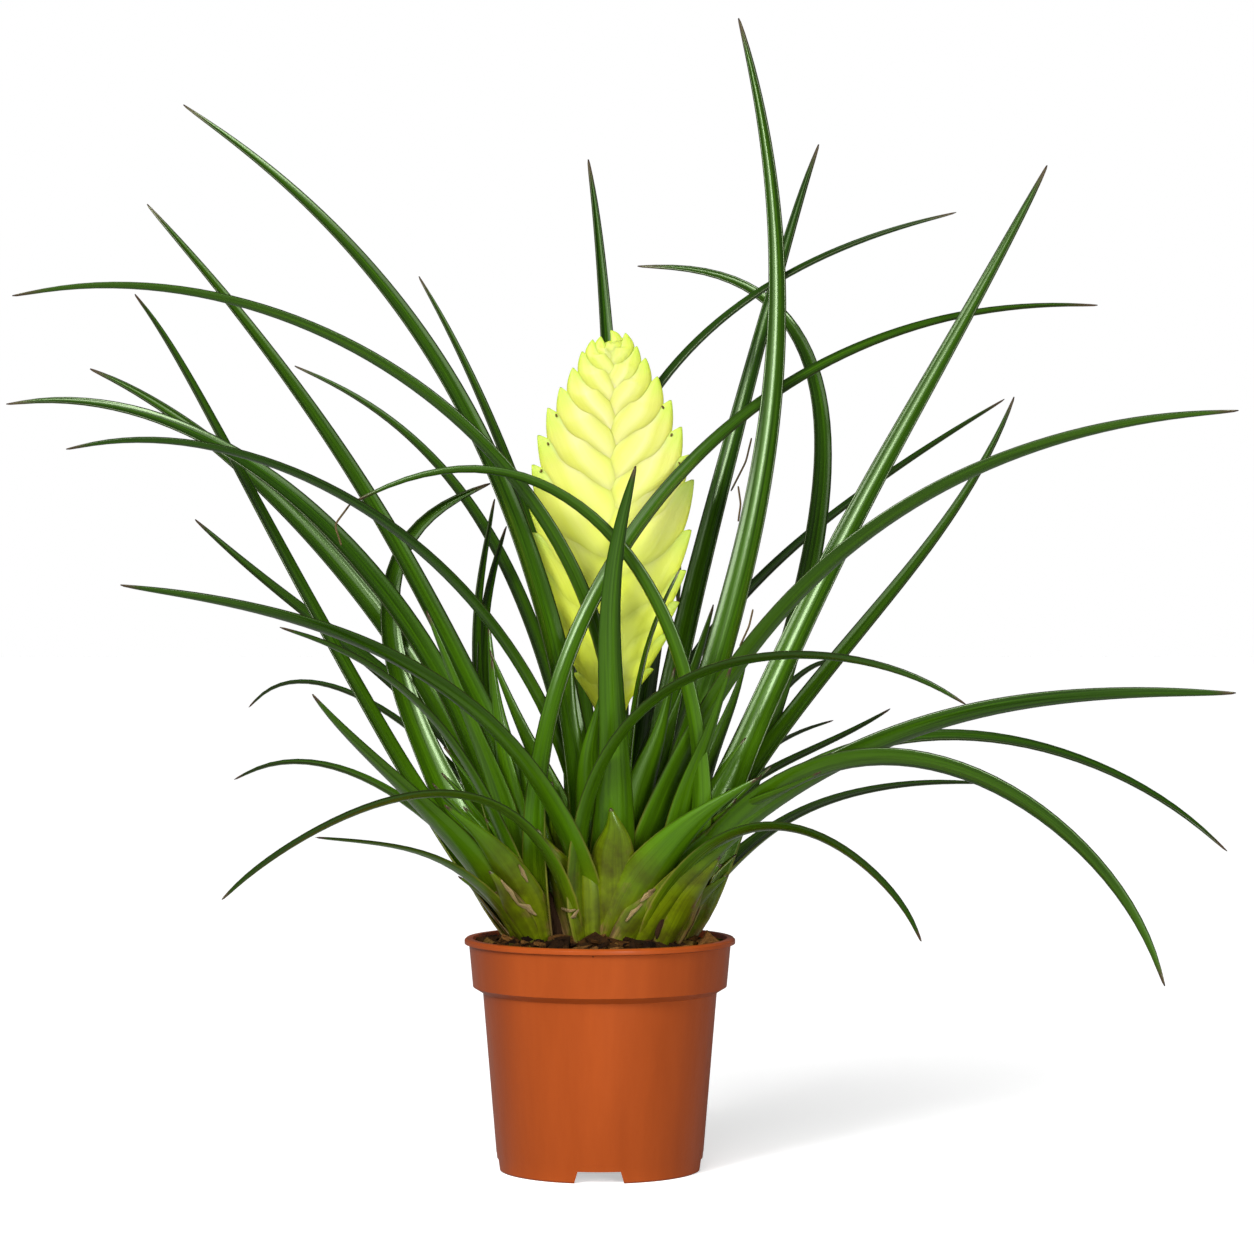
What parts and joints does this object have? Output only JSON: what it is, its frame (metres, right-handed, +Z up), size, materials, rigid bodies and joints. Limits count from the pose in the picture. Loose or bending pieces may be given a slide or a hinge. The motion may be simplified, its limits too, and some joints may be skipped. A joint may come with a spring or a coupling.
{
  "type": "potted pink quill",
  "caption": "Potted bromeliad: arching gutter-shaped leaves round a flat paddle of overlapping yellow-green bracts, in a thin terracotta-coloured plastic nursery pot.",
  "frame": {"origin": "on the ground under the middle of the plant's box, which lies on the pot's axis", "axes": "+Z up along the pot's axis, -Y the way the paddle's broad face and the front foot notch look, +X to the right of a viewer in front"},
  "size_m": [0.4102, 0.2966, 0.3884],
  "materials": {
    "pot_plastic": "satin terracotta-coloured plastic",
    "bark_mix": "rough, matt, dark brown",
    "leaf_green": "satin, dark green, finely striped",
    "stalk_green": "satin, light green",
    "bract_yellow": "satin, pale lemon yellow to lime green"
  },
  "bodies": {
    "root": {"pot": "pot_plastic", "soil": "bark_mix", "main_rosette": "leaf_green", "left_offset": "leaf_green", "right_offset": "leaf_green", "flower_stalk": "stalk_green", "flower_spike": "bract_yellow"}
  },
  "joints": []
}
